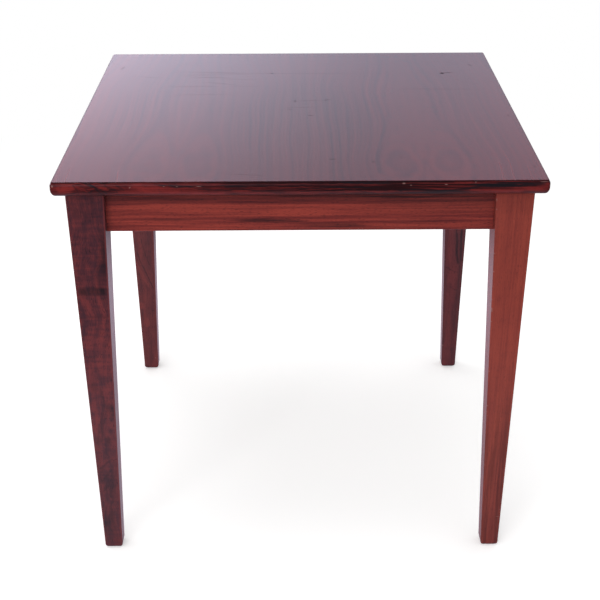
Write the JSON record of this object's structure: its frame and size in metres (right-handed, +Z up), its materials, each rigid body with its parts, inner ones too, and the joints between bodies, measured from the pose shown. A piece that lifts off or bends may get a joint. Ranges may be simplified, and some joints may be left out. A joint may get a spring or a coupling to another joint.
{
  "type": "side table",
  "caption": "Square side table with a veneered, lipped top on tapered legs and dowelled aprons.",
  "frame": {"origin": "on the floor, below the middle of the top", "axes": "+Z up, +X to the right seen from the front, the front faces -Y"},
  "size_m": [0.56, 0.56, 0.514],
  "materials": {
    "veneer_rosewood": "clear gloss lacquer over book-matched rosewood veneer",
    "lipping_rosewood": "clear gloss lacquer over solid rosewood with black figure",
    "apron_rosewood": "clear satin lacquer over solid rosewood",
    "leg_rosewood_dark": "clear satin lacquer over dark solid rosewood",
    "leg_rosewood_mid": "clear satin lacquer over solid rosewood",
    "leg_rosewood_light": "clear satin lacquer over light solid rosewood",
    "balancing_veneer": "sealed matt",
    "core_board": "bare board",
    "beech": "bare planed wood",
    "screw_steel": "bright zinc"
  },
  "bodies": {
    "root": {"top_core": "core_board", "top_veneer": "veneer_rosewood", "underside_veneer": "balancing_veneer", "lipping_front": "lipping_rosewood", "lipping_right": "lipping_rosewood", "lipping_back": "lipping_rosewood", "lipping_left": "lipping_rosewood", "leg_front_left": "leg_rosewood_dark", "leg_front_right": "leg_rosewood_light", "leg_back_right": "leg_rosewood_dark", "leg_back_left": "leg_rosewood_mid", "apron_front": "apron_rosewood", "apron_right": "apron_rosewood", "apron_back": "apron_rosewood", "apron_left": "apron_rosewood", "corner_block_front_left": "beech", "corner_block_front_right": "beech", "corner_block_back_right": "beech", "corner_block_back_left": "beech", "dowel_front_left_upper": "beech", "dowel_front_left_lower": "beech", "dowel_front_right_upper": "beech", "dowel_front_right_lower": "beech", "dowel_right_front_upper": "beech", "dowel_right_front_lower": "beech", "dowel_right_back_upper": "beech", "dowel_right_back_lower": "beech", "dowel_back_right_upper": "beech", "dowel_back_right_lower": "beech", "dowel_back_left_upper": "beech", "dowel_back_left_lower": "beech", "dowel_left_back_upper": "beech", "dowel_left_back_lower": "beech", "dowel_left_front_upper": "beech", "dowel_left_front_lower": "beech", "apron_screw_front_left": "screw_steel", "apron_screw_front_right": "screw_steel", "apron_screw_right_front": "screw_steel", "apron_screw_right_back": "screw_steel", "apron_screw_back_right": "screw_steel", "apron_screw_back_left": "screw_steel", "apron_screw_left_back": "screw_steel", "apron_screw_left_front": "screw_steel", "top_screw_front_left": "screw_steel", "top_screw_front_right": "screw_steel", "top_screw_back_right": "screw_steel", "top_screw_back_left": "screw_steel"}
  },
  "joints": []
}
